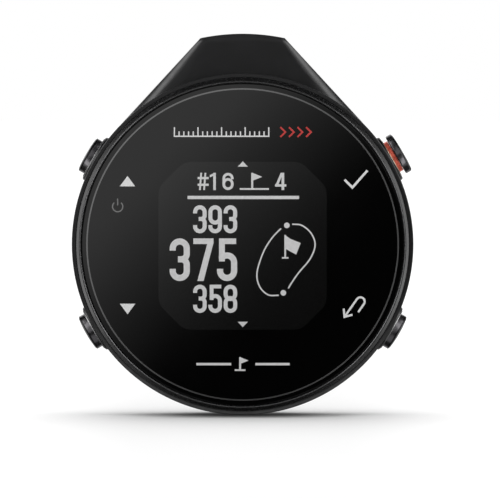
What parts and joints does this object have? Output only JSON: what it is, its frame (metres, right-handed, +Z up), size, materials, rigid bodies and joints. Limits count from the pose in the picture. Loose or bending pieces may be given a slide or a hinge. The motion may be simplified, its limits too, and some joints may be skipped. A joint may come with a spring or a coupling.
{
  "type": "clip-on golf gps handheld",
  "caption": "Round pocket golf GPS unit with a flush lens, side push buttons, a tapered hinge lug and a sprung belt clip behind.",
  "frame": {"origin": "centre of the lens's front face", "axes": "-Y out of the lens towards the viewer, +Z up the face to the hinge lug, +X to the viewer's right"},
  "size_m": [0.048, 0.018, 0.0537],
  "materials": {
    "case_polymer": "fine moulded texture, matte, charcoal black",
    "bezel": "satin dark grey moulded ring",
    "lens_glass": "flush black-printed cover glass, polished",
    "gunmetal": "satin dark gunmetal, machined caps",
    "red_collar": "red-orange anodised collar",
    "steel": "plain bright steel",
    "gold_contact": "gold-plated contact",
    "rubber": "soft matte black rubber",
    "circuit_board": "green solder mask",
    "film": "amber polyimide film",
    "screen": "reflective memory display, dark ground",
    "battery_foil": "laminated foil pouch",
    "diffuser": "white light guide"
  },
  "bodies": {
    "case": {"housing": "case_polymer", "bezel_ring": "bezel", "lens": "lens_glass", "lens_gasket": "rubber", "display_panel": "screen", "display_backlight": "diffuser", "display_flex": "film", "display_frame": "steel", "main_board": "circuit_board", "shield_can": "steel", "gps_antenna": "film", "battery": "battery_foil", "battery_pad": "rubber", "battery_lead": "film", "rear_cover": "case_polymer", "rear_gasket": "rubber", "charge_port": "case_polymer", "charge_pin_1": "gold_contact", "charge_pin_2": "gold_contact", "charge_pin_3": "gold_contact", "charge_pin_4": "gold_contact", "cover_screw_1": "steel", "cover_screw_2": "steel", "cover_screw_3": "steel", "cover_screw_4": "steel", "up_button_bush": "steel", "up_button_seal": "rubber", "up_button_spring": "steel", "up_button_switch": "steel", "down_button_bush": "steel", "down_button_seal": "rubber", "down_button_spring": "steel", "down_button_switch": "steel", "back_button_bush": "steel", "back_button_seal": "rubber", "back_button_spring": "steel", "back_button_switch": "steel", "ok_button_bush": "steel", "ok_button_seal": "rubber", "ok_button_spring": "steel", "ok_button_switch": "steel", "hinge_pin": "steel", "clip_spring": "steel"},
    "up_button": {"up_button_cap": "gunmetal", "up_button_retainer": "steel"},
    "down_button": {"down_button_cap": "gunmetal", "down_button_retainer": "steel"},
    "back_button": {"back_button_cap": "gunmetal", "back_button_retainer": "steel"},
    "ok_button": {"ok_button_cap": "gunmetal", "ok_button_retainer": "steel", "ok_button_collar": "red_collar"},
    "clip": {"clip_lever": "case_polymer", "clip_pad": "rubber"}
  },
  "joints": [
    {"name": "clip_hinge", "type": "hinge", "parent": "case", "child": "clip", "pos_m": [0, 0.012, 0.0254], "axis": [1, 0, 0], "range_deg": [0, 15], "stiffness_Nm_per_rad": 0.06, "springref_deg": -28.65, "deforming": ["clip_spring"]},
    {"name": "up_press", "type": "slide", "parent": "case", "child": "up_button", "axis": [0.866, 0, -0.5], "range_m": [0, 0.0006], "stiffness_N_per_m": 400, "springref_m": -0.001, "deforming": ["up_button_spring"]},
    {"name": "down_press", "type": "slide", "parent": "case", "child": "down_button", "axis": [0.866, 0, 0.5], "range_m": [0, 0.0006], "stiffness_N_per_m": 400, "springref_m": -0.001, "deforming": ["down_button_spring"]},
    {"name": "back_press", "type": "slide", "parent": "case", "child": "back_button", "axis": [-0.866, 0, 0.5], "range_m": [0, 0.0006], "stiffness_N_per_m": 400, "springref_m": -0.001, "deforming": ["back_button_spring"]},
    {"name": "ok_press", "type": "slide", "parent": "case", "child": "ok_button", "axis": [-0.866, 0, -0.5], "range_m": [0, 0.0006], "stiffness_N_per_m": 400, "springref_m": -0.001, "deforming": ["ok_button_spring"]}
  ]
}
